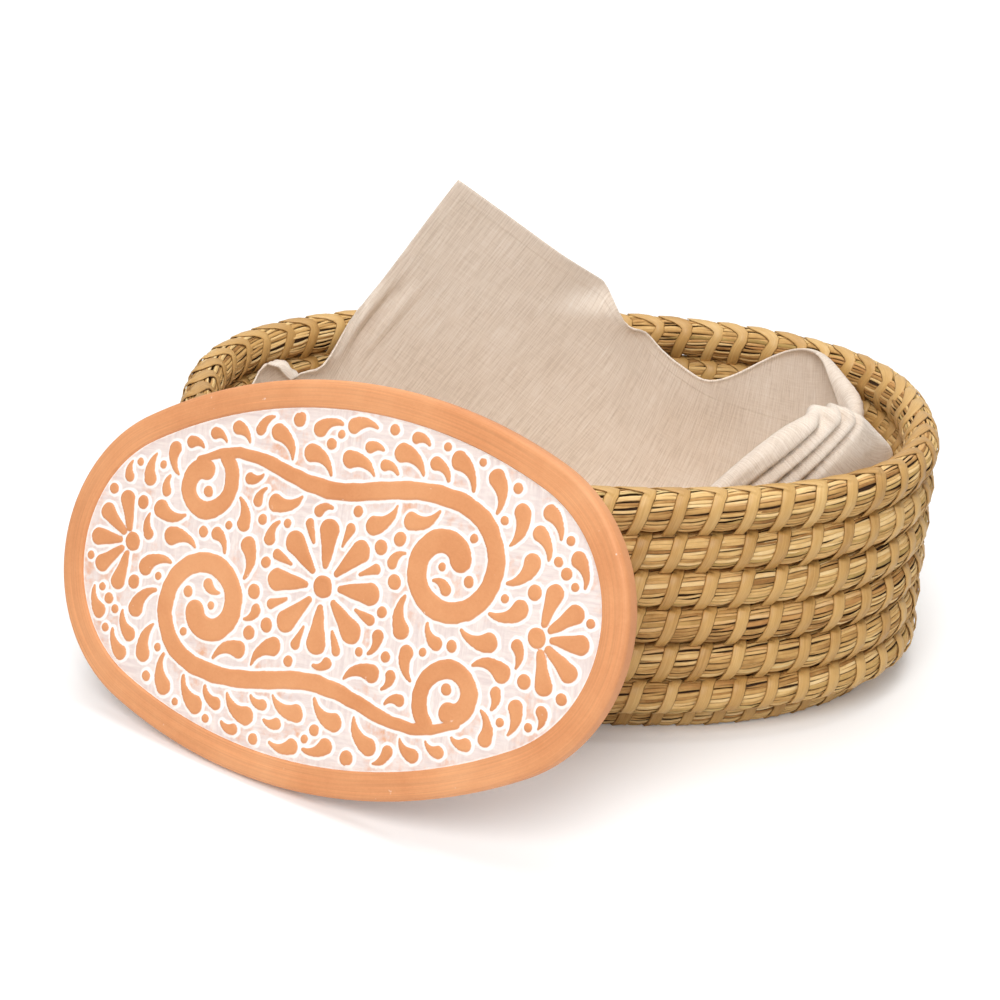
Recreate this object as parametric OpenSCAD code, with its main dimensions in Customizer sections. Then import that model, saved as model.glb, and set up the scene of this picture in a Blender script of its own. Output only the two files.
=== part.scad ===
// Oval coiled basket with a linen liner cloth and a terracotta warming tile.
// Millimetres. The origin is the middle of the basket's underside, +Z is up, -Y is the front.

/* [Basket] */
// Length of the basket over its bindings
basket_len = 320; // [280:5:380]
// Depth of the basket over its bindings
basket_dep = 212; // [180:2:250]
// Squareness of the oval, where 2 is an ellipse and more is fuller
oval_power = 2.5; // [2:0.1:3]
// Distance by which the foot row is drawn in under the wall
foot_inset = 11; // [6:0.5:14]

/* [Coil] */
// Thickness of the grass bundle through the wall
bundle_w = 13.8; // [10:0.2:16]
// Height of the grass bundle in the wall
bundle_h = 15.2; // [12:0.2:18]
// Height of the grass bundle in the rim
rim_h = 16.6; // [12:0.2:20]
// Length of the climb from one row to the next, at the back, in degrees round the oval
climb_span = 60; // [40:5:90]
// Angle round the oval at which each row starts to climb
seam = 72; // [60:2:90]
// Depth of the flat worn under the foot and the base
foot_flat = 0.5; // [0.3:0.1:1]

/* [Binding strips] */
// Width of a palm strip
strip_w = 5.2; // [3:0.2:7]
// Thickness of a palm strip
strip_t = 0.5; // [0.3:0.1:0.8]
// Stitches in one row of the wall
row_stitches = 60; // [30:1:70]
// Lean of a stitch along its row, in degrees
strip_lean = 21; // [0:1:28]
// Depth to which a stitch dips into the row before it
strip_dip = 2.4; // [1.5:0.1:4]
// Depth by which a strip presses into its own bundle
strip_sink = 0.3; // [0.2:0.05:0.5]

/* [Warming tile] */
// Length of the tile
tile_len = 262; // [200:2:290]
// Width of the tile
tile_wid = 157; // [130:1:180]
// Radius of the tile's ends
tile_end_r = 63; // [50:1:64]
// Thickness of the tile at its rim
tile_t = 8.5; // [6:0.5:14]
// Width of the plain rim of the tile
tile_rim_w = 10.5; // [6:0.5:20]
// Depth of the carved ground below the rim
carve_depth = 1.6; // [0.8:0.2:3]
// Radius of the tile's rounded edge
tile_edge_r = 2.4; // [1:0.2:2.8]
// Thickness of the white slip on the carved ground
slip_t = 0.3; // [0.2:0.05:0.6]
// Width of the vine that is left standing in the carved ground
vine_w = 7.2; // [5:0.2:8]
// Radius of the rosette in the middle of the tile
rosette_r = 26; // [20:1:28]
// Turn of the leaning tile about the upright, in degrees
tile_yaw = 34; // [20:1:45]
// Lean of the tile from the upright, in degrees
tile_tilt = 23; // [15:1:35]
// Turn of the tile in its own plane, in degrees
tile_roll = 9.5; // [0:0.5:15]
// Distance of the tile's middle along its lean, from the point nearest to the basket's middle
tile_shift = -3; // [-20:1:20]
// Gap between the tile's back and the rim
tile_gap = 0.4; // [0.3:0.1:1]

/* [Liner cloth] */
// Length of the cloth
cloth_len = 410; // [380:5:440]
// Width of the cloth
cloth_wid = 320; // [300:5:340]
// Distance from the middle of the base to the two edges that meet at the cloth's back corner
cloth_back = 170; // [160:2:180]
// Thickness of the cloth
cloth_t = 1.2; // [1:0.1:2]
// Turn of the cloth on the base, in degrees
cloth_turn = 14.5; // [5:0.5:20]
// Gap between the cloth and the basket
cloth_gap = 0.4; // [0.3:0.1:2]
// Radius of the bend from the base to the wall
cloth_bend = 14; // [8:1:20]
// Radius of the turned-in fold at the top
fold_r = 4; // [3:0.5:6]
// Depth of the fold's top below the top of the rim
fold_drop = 22; // [10:1:30]
// Extra height of the fold at the right front
front_rise = 46; // [20:1:50]
// Extra height of the fold at the right of the standing back
back_rise = 19; // [0:1:24]
// Extra height of the cloth's edge at the left of the standing back
left_rise = 26; // [0:1:30]
// Turn of the standing back from the basket's length, in degrees
stand_turn = 4.5; // [0:0.5:10]
// Depth of the upright folds along the wall
pleat = 9; // [2:1:14]

/* [Hidden] */
$fn = 64;

grass = [0.74, 0.60, 0.36];
palm = [0.83, 0.69, 0.43];
clay = [0.88, 0.57, 0.36];
white_slip = [0.95, 0.92, 0.89];
linen = [0.78, 0.72, 0.66];

wall_rows = 5;
base_turns = 5;
base_gap = 0.4;
section_sides = 10;
row_steps = 48;
base_steps = 32;
wrap_w = bundle_w + 2 * strip_t;
half_len = (basket_len - wrap_w) / 2;
half_dep = (basket_dep - wrap_w) / 2;
core_half = half_len - half_dep;
row_pitch = bundle_h + 2 * strip_t;
base_pitch = (half_dep - foot_inset) / (base_turns + 1);
base_z = bundle_h / 2 - foot_flat;
foot_rise = sqrt(row_pitch * row_pitch - foot_inset * foot_inset);
base_w = base_pitch - 2 * strip_t - base_gap;
foot_level = base_turns;
rim_level = foot_level + wall_rows + 1;
rim_z = base_z + foot_rise + (wall_rows - 1) * row_pitch + (bundle_h + rim_h) / 2 + 2 * strip_t;
rim_top = rim_z + rim_h / 2 + strip_t;

// The plan of a row: an oval that turns into straight sides with round ends near the core.
function oval_r(a, b, t) =
    pow(pow(abs(cos(t)) / a, oval_power) + pow(abs(sin(t)) / b, oval_power), -1 / oval_power);
function round_end_r(b, t) = b * abs(cos(t)) <= core_half * abs(sin(t))
    ? b / abs(sin(t))
    : core_half * abs(cos(t)) + sqrt(b * b - pow(core_half * sin(t), 2));
function plan_r(inset, t) =
    let (b = half_dep - inset, share = pow(b / half_dep, 2))
    share * oval_r(half_len - inset, b, t) + (1 - share) * round_end_r(b, t);

// The route of the coil: angle t runs on from row to row, and each row climbs at the back.
function ease(u) = u <= 0 ? 0 : u >= 1 ? 1 : u * u * (3 - 2 * u);
function level_at(t) =
    let (turn = floor((t - seam) / 360))
    turn - 1 + ease((t - seam - 360 * turn) / climb_span);
function inset_at(level) = level <= foot_level
    ? foot_inset + (foot_level - level) * base_pitch
    : max(0, foot_inset * (1 - (level - foot_level)));
function z_at(level) = level <= foot_level ? base_z
    : level <= foot_level + 1 ? base_z + foot_rise * (level - foot_level)
    : level <= rim_level - 1 ? base_z + foot_rise + (level - foot_level - 1) * row_pitch
    : let (under_rim = z_at(rim_level - 1))
    under_rim + (level - rim_level + 1) * (rim_z - under_rim);
function height_at(level) = bundle_h + (rim_h - bundle_h) * max(0, level - rim_level + 1);
function width_at(level) = base_w + (bundle_w - base_w) * max(0, min(1, level - foot_level + 1));
function coil_point(t) =
    let (level = level_at(t), r = plan_r(inset_at(level), t))
    [r * cos(t), r * sin(t), z_at(level)];
function heading(t) = let (d = coil_point(t + 1) - coil_point(t - 1)) atan2(d[1], d[0]);

// One cross-section of the bundle, flat where it would pass below the ground.
function section(p, head, w, h) = [for (i = [0:section_sides - 1])
    let (a = 360 * (i + 0.5) / section_sides, out = w / 2 * cos(a))
    [p[0] + out * sin(head), p[1] - out * cos(head), max(0, p[2] + h / 2 * sin(a))]];

module tube(rings) {
    n = section_sides;
    last = len(rings) - 1;
    side_faces = [for (k = [0:last - 1]) for (i = [0:n - 1])
        let (j = (i + 1) % n)
        each [[k * n + i, k * n + n + i, k * n + n + j], [k * n + i, k * n + n + j, k * n + j]]];
    start_face = [for (i = [0:n - 1]) i];
    end_face = [for (i = [n - 1:-1:0]) last * n + i];
    polyhedron([for (ring = rings) each ring], concat(side_faces, [start_face, end_face]));
}

function turn_start(level) = seam + 360 * level;

// The coil from the start of one row to the start of another.
module coil(from, to, steps) {
    count = ceil((to - from) / 360 * steps);
    tube([for (k = [0:count])
        let (t = from + (to - from) * k / count)
        section(coil_point(t), heading(t), width_at(level_at(t)), height_at(level_at(t)))]);
}

module row_coil(level) {
    color(grass) coil(turn_start(level), turn_start(level + 1), row_steps);
}

module base_core() {
    color(grass) difference() {
        translate([-core_half, 0, base_z]) rotate([0, 90, 0]) cylinder(d = bundle_h, h = 2 * core_half);
        below_ground();
    }
}

module base_coil() {
    color(grass) coil(seam + climb_span, turn_start(foot_level), base_steps);
}

// The end of the coil thins out on top of the rim's own climb.
tail_stop = 0.66;
function tail_t(u) = turn_start(rim_level + 1) + u * climb_span;
function tail_h(u) = let (under = level_at(tail_t(u) - 360))
    rim_z + rim_h / 2 - z_at(under) - height_at(under) / 2 - 2 * strip_t;
function tail_w(u) = bundle_w * min(1, (0.3 + 0.7 * tail_h(u) / rim_h));
function tail_point(u) =
    let (r = plan_r(0, tail_t(u)))
    [r * cos(tail_t(u)), r * sin(tail_t(u)), rim_z + rim_h / 2 - tail_h(u) / 2];

module coil_end() {
    steps = 10;
    color(grass) tube([for (k = [0:steps])
        let (u = tail_stop * k / steps)
        section(tail_point(u), heading(tail_t(u) - 360), tail_w(u), tail_h(u))]);
}

// A closed loop of strip round one bundle, lengthened below where it dips into the row before.
module slot(w, up, down) {
    translate([0, up]) circle(d = w);
    translate([0, -down]) circle(d = w);
    translate([-w / 2, -down]) square([w, max(up + down, 0.01)]);
}

module stitch(w, h, dip) {
    rise = (h - w) / 2;
    linear_extrude(strip_w, center = true) difference() {
        slot(w + 2 * strip_t, rise, rise + dip);
        slot(w - 2 * strip_sink, rise, rise + dip);
    }
}

// A stitch of the base lies on its side, and stops at the ground.
module ground_stitch(w) {
    rise = (w - bundle_h) / 2;
    linear_extrude(strip_w, center = true) intersection() {
        difference() {
            slot(bundle_h + 2 * strip_t, rise, strip_dip - rise);
            slot(bundle_h - 2 * strip_sink, rise, strip_dip - rise);
        }
        translate([-base_z, -2 * w]) square(4 * w);
    }
}

// Even places along a row, found from its length.
function row_table(from, to, steps) =
    let (p = [for (k = [0:steps]) coil_point(from + (to - from) * k / steps)])
    [for (k = 0, s = 0; k <= steps; k = k + 1, s = s + (k <= steps ? norm(p[k] - p[k - 1]) : 0))
        [s, from + (to - from) * k / steps]];
function row_length(table) = table[len(table) - 1][0];
function even_places(from, to, count) =
    let (table = row_table(from, to, 120), whole = row_length(table))
    [for (k = [0:count - 1]) lookup((k + 0.5) / count * whole, table)];

module place_stitch(p, head, seat) {
    translate(p) rotate([0, 0, head]) rotate([seat, 0, 0]) rotate([0, strip_lean, 0]) rotate([90, 0, 90])
        children();
}

// The first wall row starts on the ground, so its stitches are cut off there.
module row_binding(level) {
    first = level == foot_level + 1;
    seat = first ? atan2(foot_inset, foot_rise) : 0;
    for (t = even_places(turn_start(level), turn_start(level + 1), row_stitches))
        color(palm) difference() {
            place_stitch(coil_point(t), heading(t), seat)
                stitch(bundle_w, height_at(level_at(t)) / cos(strip_lean), strip_dip);
            if (first && z_at(level_at(t)) < bundle_h) below_ground();
        }
}

module below_ground() {
    translate([-basket_len / 2, -basket_dep / 2, -bundle_h]) cube([basket_len, basket_dep, bundle_h]);
}

module ground_binding(from, to, count) {
    for (t = even_places(from, to, count))
        color(palm) place_stitch(coil_point(t), heading(t), 90) ground_stitch(width_at(level_at(t)));
}

// Base stitches keep the wall's spacing, and spread out where a tight turn would crowd them.
module base_binding(level) {
    from = level == 0 ? seam + climb_span : turn_start(level);
    turn_r = half_dep - inset_at(level);
    spacing = row_length(row_table(turn_start(rim_level), turn_start(rim_level + 1), 120)) / row_stitches;
    room = (strip_w + 1.5) * turn_r / (turn_r - wrap_w / 2 - strip_dip);
    whole = row_length(row_table(from, turn_start(level + 1), 60));
    ground_binding(from, turn_start(level + 1), floor(whole / max(spacing, room)));
}

module foot_binding() {
    ground_binding(turn_start(foot_level), turn_start(foot_level + 1), row_stitches);
}

module end_binding() {
    count = round(row_stitches * climb_span / 360 * tail_stop * 0.7);
    for (k = [0:count - 1])
        let (u = tail_stop * (k + 0.5) / count)
        color(palm) place_stitch(tail_point(u), heading(tail_t(u) - 360), 0)
            stitch(min(tail_w(u), tail_h(u)), tail_h(u) / cos(strip_lean), strip_dip);
}

// The tile's oval has four arcs: two round ends and two long sides.
tile_side_r = (pow(tile_len / 2, 2) + pow(tile_wid / 2, 2) - tile_len * tile_end_r)
    / (tile_wid - 2 * tile_end_r);
tile_end_x = tile_len / 2 - tile_end_r;
tile_side_y = tile_side_r - tile_wid / 2;
joint_angle = atan2(tile_end_x, tile_side_y);
arc_steps = 24;
round_steps = 4;

function arc_points(mid, r, from, to) = [for (k = [0:arc_steps - 1])
    let (a = from + (to - from) * k / arc_steps)
    mid + r * [cos(a), sin(a)]];

// The tile's oval as a polygon whose corners lie on the four arcs.
module tile_oval(inset) {
    end = 90 - joint_angle;
    polygon(concat(
        arc_points([tile_end_x, 0], tile_end_r - inset, -end, end),
        arc_points([0, -tile_side_y], tile_side_r - inset, end, 180 - end),
        arc_points([-tile_end_x, 0], tile_end_r - inset, 180 - end, 180 + end),
        arc_points([0, tile_side_y], tile_side_r - inset, 180 + end, 360 - end)));
}

// The section of the tile's rim: x runs inwards from the edge, and the face is at y = 0.
module tile_rim_section() {
    r = tile_edge_r;
    round_turn = [for (k = [0:round_steps]) 90 * k / round_steps];
    polygon(concat(
        [for (a = round_turn) [r - r * cos(a), r * sin(a) - r]],
        [[tile_rim_w, 0], [tile_rim_w, -tile_t]],
        [for (a = round_turn) [r - r * sin(a), r - tile_t - r * cos(a)]]));
}

module tile_arc(radius, angle) {
    rotate([0, 0, -angle / 2]) rotate_extrude(angle = angle, $fn = 128)
        translate([radius, 0]) mirror([1, 0]) tile_rim_section();
}

module tile_place() {
    multmatrix(tile_frame) children();
}

// The ornament's main strokes, as points on the middle line with half a width each. The rest is carved finer.
vine_half = vine_w / 2;
relief_drop = 0.1;
scroll_mid = [54, 14.5];
small_mid = [62, -33];
palmette_mid = [96, -6];
function spiral(mid, r, a, w, steps) = [for (k = [0:steps])
    let (u = k / steps, angle = a[0] + (a[1] - a[0]) * u, reach = r[0] + (r[1] - r[0]) * u)
    [mid[0] + reach * cos(angle), mid[1] + reach * sin(angle), w[0] + (w[1] - w[0]) * u]];
function cubic(p, u) =
    pow(1 - u, 3) * p[0] + 3 * pow(1 - u, 2) * u * p[1] + 3 * (1 - u) * u * u * p[2] + pow(u, 3) * p[3];
function curve(p, w, steps) = [for (k = [1:steps])
    let (u = k / steps, q = cubic(p, u))
    [q[0], q[1], w[0] + (w[1] - w[0]) * u]];
scroll = spiral(scroll_mid, [6.2, 24], [-330, 82], [vine_half + 1.2, vine_half], 30);
scroll_end = [scroll[30][0], scroll[30][1]];
vine = concat(scroll,
    curve([scroll_end, [28, 46], [12, 32], [-12, 38]], [vine_half, vine_half - 0.2], 8),
    curve([[-12, 38], [-32, 43], [-44, 52], [-66, 42]], [vine_half - 0.2, 1.6], 6));
small_scroll = spiral(small_mid, [14.5, 5.2], [230, -90], [3.2, 4.2], 20);

module stroke(s) {
    last = len(s) - 1;
    sides = [for (k = [0:last])
        let (d = s[min(k + 1, last)] - s[max(k - 1, 0)], n = [-d[1], d[0]] / norm([d[0], d[1]]))
        [[s[k][0], s[k][1]] + n * s[k][2], [s[k][0], s[k][1]] - n * s[k][2]]];
    polygon(concat([for (side = sides) side[0]], [for (k = [last:-1:0]) sides[k][1]]));
    for (k = [0, last]) translate([s[k][0], s[k][1]]) circle(r = s[k][2]);
}

// A teardrop from its point to its round end, outwards from the middle.
module teardrop(from, to, r0, r1) {
    stroke([[from, 0, r0], [to - r1, 0, r1]]);
}

module ornament() {
    circle(r = 4.6);
    for (a = [0:45:315]) rotate(a) {
        teardrop(8, rosette_r, 1.5, 4.6);
        rotate(22.5) teardrop(17.5, rosette_r + 1.2, 0.8, 2.2);
    }
    for (side = [0, 180]) rotate(side) {
        stroke(vine);
        stroke(small_scroll);
        translate(palmette_mid) {
            translate([-1, 0]) circle(r = 3.9);
            for (a = [-76:38:76]) rotate(a) teardrop(5.5, 20.7, 1.6, 3.7);
        }
    }
}

module warming_tile() {
    color(clay) tile_place() {
        for (side = [0, 180]) {
            rotate([0, 0, side]) translate([tile_end_x, 0, 0])
                tile_arc(tile_end_r, 180 - 2 * joint_angle);
            rotate([0, 0, 90 + side]) translate([-tile_side_y, 0, 0])
                tile_arc(tile_side_r, 2 * joint_angle);
        }
        translate([0, 0, -tile_t]) linear_extrude(tile_t - carve_depth) tile_oval(tile_rim_w / 2);
        translate([0, 0, -carve_depth - slip_t]) linear_extrude(carve_depth + slip_t - relief_drop) ornament();
    }
}

module slip_coat() {
    color(white_slip) tile_place() translate([0, 0, -carve_depth]) linear_extrude(slip_t) difference() {
        tile_oval(tile_rim_w);
        ornament();
    }
}

// The tile stands on the ground on its lowest edge and leans on the rim.
lean_dir = [-sin(tile_yaw), -cos(tile_yaw)];
function lean_reach(t) = plan_r(0, t) * (cos(t) * lean_dir[0] + sin(t) * lean_dir[1]);
rim_reach = max([for (t = [180:1:270]) lean_reach(t)]);
lean_at = [for (t = [180:1:270]) if (lean_reach(t) == rim_reach) t][0];
rim_bulge = bundle_w / 2 + strip_t + ((rim_h / cos(strip_lean) - bundle_w) / 2 + strip_t) * sin(tile_tilt);
tile_off = rim_reach * cos(tile_tilt) + rim_z * sin(tile_tilt) + rim_bulge + tile_gap + tile_t;
tile_low = cos(tile_tilt) * (tile_side_r - tile_edge_r - tile_side_y * cos(tile_roll))
    + (tile_t - tile_edge_r) * sin(tile_tilt) + tile_edge_r;
tile_up = (tile_low - sin(tile_tilt) * tile_off) / cos(tile_tilt);
face_n = [lean_dir[0] * cos(tile_tilt), lean_dir[1] * cos(tile_tilt), sin(tile_tilt)];
face_x = [cos(tile_yaw), -sin(tile_yaw), 0];
face_y = [sin(tile_yaw) * sin(tile_tilt), cos(tile_yaw) * sin(tile_tilt), cos(tile_tilt)];
tile_x = face_x * cos(tile_roll) + face_y * sin(tile_roll);
tile_y = face_y * cos(tile_roll) - face_x * sin(tile_roll);
tile_mid = face_n * tile_off + face_x * tile_shift + face_y * tile_up;
tile_frame = [for (i = [0:2]) [tile_x[i], tile_y[i], face_n[i], tile_mid[i]]];

// The cloth lies on the base and bends up the wall. It turns in at the top, and its back corner stands up.
cloth_steps = 54;
cloth_z = base_z + bundle_h / 2 + strip_t + cloth_gap + cloth_t / 2;
cloth_inset = bundle_w / 2 + strip_t + cloth_gap + cloth_t / 2;
corner_a = 90 + cloth_turn;
bend_run = cloth_bend * PI / 2;
pleat_arc = 30;
pleat_rise = 60;
stand_at = 112.5;
stand_half = 27.5;
stand_fade = 16;
front_at = 327;
front_half = 30;
back_at = 68;
back_half = 24;
left_at = 152;
left_half = 13;
tile_room = 8;
room_half = 40;
hem_room = 3;
least_wall = 6;
slack_in = 0.12;
lie_gap = cloth_t + cloth_gap;
stand_dir = [-sin(stand_turn), cos(stand_turn)];
stand_side = [stand_dir[1], -stand_dir[0]];
function apart(a, b) = let (d = (a - b + 540) % 360 - 180) abs(d);
function bump(a, at, half) = ease(1 - apart(a, at) / half);
function stand(a) = 1 - ease((apart(a, stand_at) - stand_half) / stand_fade);
function row_spot(a) = plan_r(0, a) * [cos(a), sin(a)];
function row_out(a) = let (d = row_spot(a + 1) - row_spot(a - 1)) [d[1], -d[0]] / norm(d);

// The standing back is flat: it stays behind one straight line that clears the wall.
stand_line = min([for (a = [stand_at - stand_half:2.5:stand_at + stand_half])
    (row_spot(a) - row_out(a) * cloth_inset) * stand_dir]) - cloth_bend;
function row_edge(a) =
    row_spot(a) - row_out(a) * (cloth_inset + tile_room * bump(a, lean_at, room_half) + cloth_bend);
function floor_edge(a) = let (p = row_edge(a)) p - stand_dir * max(0, p * stand_dir - stand_line);
function cloth_out(a) = let (d = stand(a) * stand_dir + (1 - stand(a)) * row_out(a)) d / norm(d);

// The cloth's length past the edge of the base, out to the nearest of its four edges.
edge_reach = [cloth_back, cloth_back, cloth_wid - cloth_back, cloth_len - cloth_back];
function spare(a) = max(bend_run + hem_room + least_wall, left_rise * bump(a, left_at, left_half)
    + min([for (k = [0:3])
        let (side = [cos(corner_a - 45 + 90 * k), sin(corner_a - 45 + 90 * k)],
            slope = side * cloth_out(a))
        slope > 0.1 ? (edge_reach[k] - side * floor_edge(a)) / slope : cloth_len]));
function fold_z(a) = rim_top - fold_drop + front_rise * bump(a, front_at, front_half)
    + back_rise * bump(a, back_at, back_half);
function wall_run(a) = min(fold_z(a) - fold_r - cloth_z - cloth_bend, spare(a) - bend_run - hem_room);
function pleat_in(a, up) =
    let (out = cloth_out(a), way = atan2(out[1], out[0]))
    pleat * (1 - stand(a)) * ease(up / pleat_rise) * (1 - cos((way - 90) * 360 / pleat_arc)) / 2;

// The columns of the cloth start at the one that runs into its back corner.
corner_column = lookup(cloth_back * sqrt(2) * [cos(corner_a), sin(corner_a)] * stand_side,
    [for (a = [150:-0.5:80]) [row_edge(a) * stand_side, a]]);

// A point of the cloth's middle sheet, on the line out at angle a, with s measured along the cloth.
// What hangs from the fold and is longer than the wall lies inwards, just above the cloth on the base.
function cloth_point(a, s) =
    let (edge = floor_edge(a), floor_run = norm(edge), d = max(0, s - floor_run),
        bend = min(90, d / cloth_bend * 180 / PI),
        on_wall = max(0, d - bend_run),
        up = min(on_wall, wall_run(a)),
        over = on_wall - up,
        turn = min(180, over / fold_r * 180 / PI),
        spare_hang = max(0, over - PI * fold_r),
        hang = min(spare_hang, cloth_bend + wall_run(a) - lie_gap),
        lie = spare_hang - hang,
        start = cloth_z + cloth_bend * (1 - cos(bend)) + up,
        fold_in = fold_r * (1 - cos(turn)) + pleat_in(a, up) + hang * slack_in + lie,
        fold_up = fold_r * sin(turn) - hang,
        out = cloth_bend * sin(bend) - fold_in * (1 - stand(a)),
        flat = edge * min(1, s / floor_run) + cloth_out(a) * out)
    [flat[0], flat[1], start + fold_up * (1 - stand(a)) + over * stand(a)];
function stations(a) =
    let (f = norm(floor_edge(a)), top = f + bend_run + wall_run(a), rest = f + spare(a) - top)
    [f / 2, f, f + bend_run / 2, f + bend_run, (f + bend_run + top) / 2, top,
        top + min(PI * fold_r / 2, rest * 0.3),
        top + min(PI * fold_r, rest * 0.6),
        top + rest];
function cloth_normal(a, s) =
    let (around = cloth_point(a + 1, s) - cloth_point(a - 1, s),
        along = cloth_point(a, s + 0.5) - cloth_point(a, s - 0.5),
        n = cross(around, along))
    n / norm(n);

// The cloth is one sheet. It is cut into a base and five stretches of wall that meet face to face.
wall_stops = [-5, 4, 14, 27, 38, 49];
function sheet_points(columns, marks) = [for (side = [1, -1]) for (i = columns)
    let (a = corner_column + 360 * i / cloth_steps, s = stations(a))
    for (k = marks) cloth_point(a, s[k]) + side * cloth_normal(a, s[k]) * cloth_t / 2];
function quad(a, b, c, d) = [[a, b, c], [a, c, d]];

// Both skins between the columns of points that start at a and b.
function skins(a, b, rows, count) = [for (k = [0:rows - 2]) each concat(
    quad(a + k, a + k + 1, b + k + 1, b + k),
    quad(count + b + k, count + b + k + 1, count + a + k + 1, count + a + k))];

module cloth_base() {
    count = 2 * cloth_steps;
    faces = [for (i = [0:cloth_steps - 1])
        let (a = 2 * i, b = (i + 1) % cloth_steps * 2)
        each concat(
            skins(a, b, 2, count),
            [[2 * count, a, b], [2 * count + 1, count + b, count + a]],
            quad(a + 1, count + a + 1, count + b + 1, b + 1))];
    middle = [[0, 0, cloth_z + cloth_t / 2], [0, 0, cloth_z - cloth_t / 2]];
    color(linen) polyhedron(concat(sheet_points([0:cloth_steps - 1], [0, 1]), middle), faces);
}

module cloth_wall(side) {
    from = wall_stops[side];
    wide = wall_stops[side + 1] - from;
    rows = len(stations(0)) - 1;
    count = (wide + 1) * rows;
    across = [for (i = [0:wide - 1])
        let (a = i * rows, b = a + rows, top = rows - 1)
        each concat(
            skins(a, b, rows, count),
            quad(a, b, count + b, count + a),
            quad(a + top, count + a + top, count + b + top, b + top))];
    ends = [for (k = [0:rows - 2])
        let (b = wide * rows + k)
        each concat(
            quad(k + 1, k, count + k, count + k + 1),
            quad(b + 1, count + b + 1, count + b, b))];
    color(linen) polyhedron(sheet_points([from:from + wide], [1:rows]), concat(across, ends));
}

// The least gap between one turn of the coil and the next, measured on section points.
function gap_at(t) =
    let (low = section(coil_point(t), heading(t), width_at(level_at(t)), height_at(level_at(t))),
        next = level_at(t + 360),
        high = section(coil_point(t + 360), heading(t + 360), width_at(next), height_at(next)))
    min([for (p = low) for (q = high) norm(p - q)]);
echo(least_gap_between_rows = min([for (t = [seam + 360:30:turn_start(rim_level)]) gap_at(t)]));

base_core();
base_coil();
row_coil(foot_level);  // foot_coil
row_coil(foot_level + 1);  // wall_coil_1
row_coil(foot_level + 2);  // wall_coil_2
row_coil(foot_level + 3);  // wall_coil_3
row_coil(foot_level + 4);  // wall_coil_4
row_coil(foot_level + 5);  // wall_coil_5
row_coil(rim_level);  // rim_coil
coil_end();
base_binding(0);  // base_binding_1
base_binding(1);  // base_binding_2
base_binding(2);  // base_binding_3
base_binding(3);  // base_binding_4
base_binding(4);  // base_binding_5
foot_binding();
row_binding(foot_level + 1);  // wall_binding_1
row_binding(foot_level + 2);  // wall_binding_2
row_binding(foot_level + 3);  // wall_binding_3
row_binding(foot_level + 4);  // wall_binding_4
row_binding(foot_level + 5);  // wall_binding_5
row_binding(rim_level);  // rim_binding
end_binding();
warming_tile();
slip_coat();
cloth_base();  // linen_base
cloth_wall(0);  // linen_back
cloth_wall(1);  // linen_left
cloth_wall(2);  // linen_front
cloth_wall(3);  // linen_right_front
cloth_wall(4);  // linen_right_back
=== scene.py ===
import bpy
import numpy as np
from mathutils import Matrix


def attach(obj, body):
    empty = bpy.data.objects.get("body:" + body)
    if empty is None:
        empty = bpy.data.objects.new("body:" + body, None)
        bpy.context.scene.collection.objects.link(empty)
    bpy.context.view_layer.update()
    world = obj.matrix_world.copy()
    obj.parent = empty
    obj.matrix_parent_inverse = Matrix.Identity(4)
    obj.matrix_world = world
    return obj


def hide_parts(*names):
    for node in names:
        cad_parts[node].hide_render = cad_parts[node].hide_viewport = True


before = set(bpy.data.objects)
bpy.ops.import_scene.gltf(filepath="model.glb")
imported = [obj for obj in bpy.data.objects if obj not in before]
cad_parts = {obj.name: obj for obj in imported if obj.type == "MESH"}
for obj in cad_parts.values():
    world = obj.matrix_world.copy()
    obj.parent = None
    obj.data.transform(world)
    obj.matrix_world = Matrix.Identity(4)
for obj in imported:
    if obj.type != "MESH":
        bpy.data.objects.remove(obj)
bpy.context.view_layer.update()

# The part is modelled in millimetres, as its CAD source is, and turned into metres in addMesh.
mm = 0.001
upright = np.array([0, 0, 1.0])
white = (1, 1, 1, 1)
print("frame loaded:", len(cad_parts), "nodes")


# ---- camera, floor and light

camera = {
    "target": (-23.463, -41.315, 76.061), "distance": 900.0, "elevation": 24.892, "turn": -0.109, "roll": 2.549,
    "lens": 78.258, "sensor": 36.0, "nearest": 0.01, "farthest": 20,
}


def addObject(name, data):
    found = bpy.data.objects.new(name, data)
    bpy.context.scene.collection.objects.link(found)
    return found


def addCamera():
    # it stands back from the target at its elevation, turned and rolled a little
    e, a, roll = np.radians([camera["elevation"], camera["turn"], camera["roll"]])
    turned = np.array([[np.cos(a), -np.sin(a), 0], [np.sin(a), np.cos(a), 0], [0, 0, 1]])
    back = turned @ [0, -np.cos(e), np.sin(e)]
    right, up = turned @ [1, 0, 0], turned @ [0, np.sin(e), np.cos(e)]
    place = np.eye(4)
    place[:3, 0] = right * np.cos(roll) + up * np.sin(roll)
    place[:3, 1] = up * np.cos(roll) - right * np.sin(roll)
    place[:3, 2] = back
    place[:3, 3] = (np.array(camera["target"]) + back * camera["distance"]) * mm
    data = bpy.data.cameras.new("photoCamera")
    data.lens, data.sensor_width = camera["lens"], camera["sensor"]
    data.clip_start, data.clip_end = camera["nearest"], camera["farthest"]
    bpy.context.scene.camera = addObject("photoCamera", data)
    bpy.context.scene.camera.matrix_world = Matrix(place.tolist())


def linear(rgb):
    # a colour as it is seen on a screen, 0 to 255, as the shader's linear value
    c = np.array(rgb) / 255
    return (*np.where(c <= 0.04045, c / 12.92, ((c + 0.055) / 1.055) ** 2.4), 1.0)


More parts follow.
